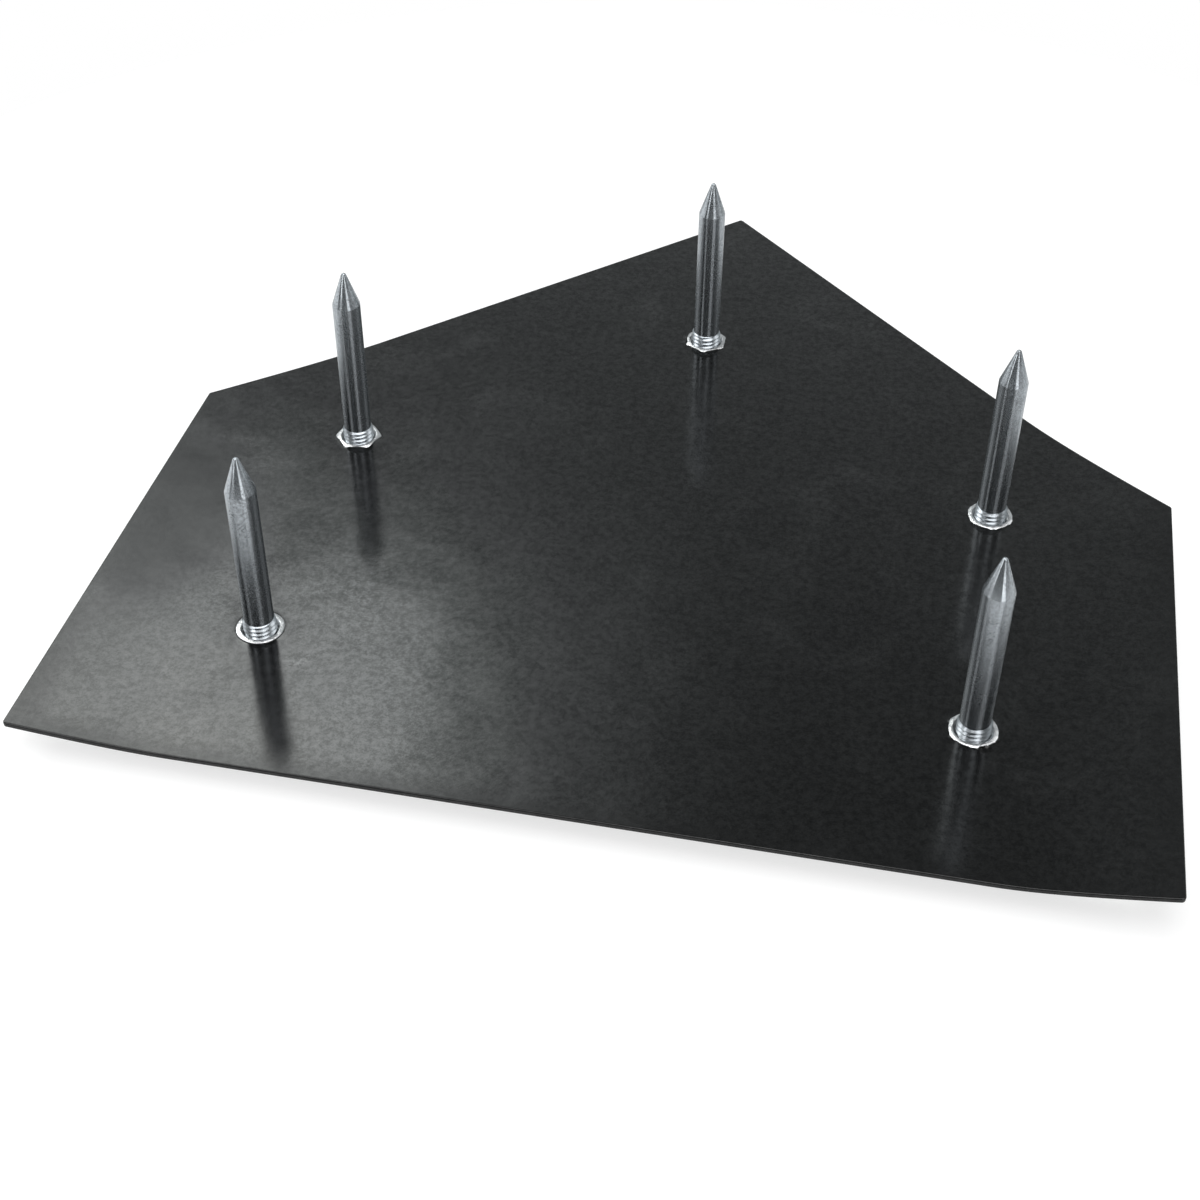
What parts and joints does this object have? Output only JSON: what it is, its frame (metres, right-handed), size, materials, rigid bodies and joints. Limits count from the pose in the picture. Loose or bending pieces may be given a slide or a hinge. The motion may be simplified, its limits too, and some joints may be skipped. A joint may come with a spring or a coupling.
{
  "type": "home plate",
  "caption": "Five-sided rubber home plate with a bevelled black base, a white playing face and pointed steel spikes that screw out of nuts moulded into its underside.",
  "frame": {"origin": "on the white playing face, below the middle of the plate's outline box", "axes": "+Z out of the underside, along the spikes to their tips, +Y from the straight front edge towards the plate's point, +X to the right in the picture"},
  "size_m": [0.4572, 0.4618, 0.1019],
  "materials": {
    "base_rubber": "smooth satin black moulded rubber with a faint cloth grain and pale bloom",
    "face_rubber": "matt white moulded rubber",
    "nut_steel": "bright zinc-plated steel",
    "washer_steel": "plain steel",
    "spike_steel": "bright zinc-plated turned steel with fine lathe rings on the point"
  },
  "bodies": {
    "plate": {"rubber_base": "base_rubber", "white_face": "face_rubber", "anchor_washer_front_left": "washer_steel", "anchor_washer_shoulder_left": "washer_steel", "anchor_washer_point": "washer_steel", "anchor_washer_shoulder_right": "washer_steel", "anchor_washer_front_right": "washer_steel", "anchor_nut_front_left": "nut_steel", "anchor_nut_shoulder_left": "nut_steel", "anchor_nut_point": "nut_steel", "anchor_nut_shoulder_right": "nut_steel", "anchor_nut_front_right": "nut_steel"},
    "front_left_spike": {"spike_front_left": "spike_steel"},
    "shoulder_left_spike": {"spike_shoulder_left": "spike_steel"},
    "point_spike": {"spike_point": "spike_steel"},
    "shoulder_right_spike": {"spike_shoulder_right": "spike_steel"},
    "front_right_spike": {"spike_front_right": "spike_steel"}
  },
  "joints": [
    {"name": "front_left_spike_out", "type": "slide", "parent": "plate", "child": "front_left_spike", "axis": [0, 0, 1], "range_m": [0, 0.0095]},
    {"name": "shoulder_left_spike_out", "type": "slide", "parent": "plate", "child": "shoulder_left_spike", "axis": [0, 0, 1], "range_m": [0, 0.0095]},
    {"name": "point_spike_out", "type": "slide", "parent": "plate", "child": "point_spike", "axis": [0, 0, 1], "range_m": [0, 0.0095]},
    {"name": "shoulder_right_spike_out", "type": "slide", "parent": "plate", "child": "shoulder_right_spike", "axis": [0, 0, 1], "range_m": [0, 0.0095]},
    {"name": "front_right_spike_out", "type": "slide", "parent": "plate", "child": "front_right_spike", "axis": [0, 0, 1], "range_m": [0, 0.0095]}
  ]
}
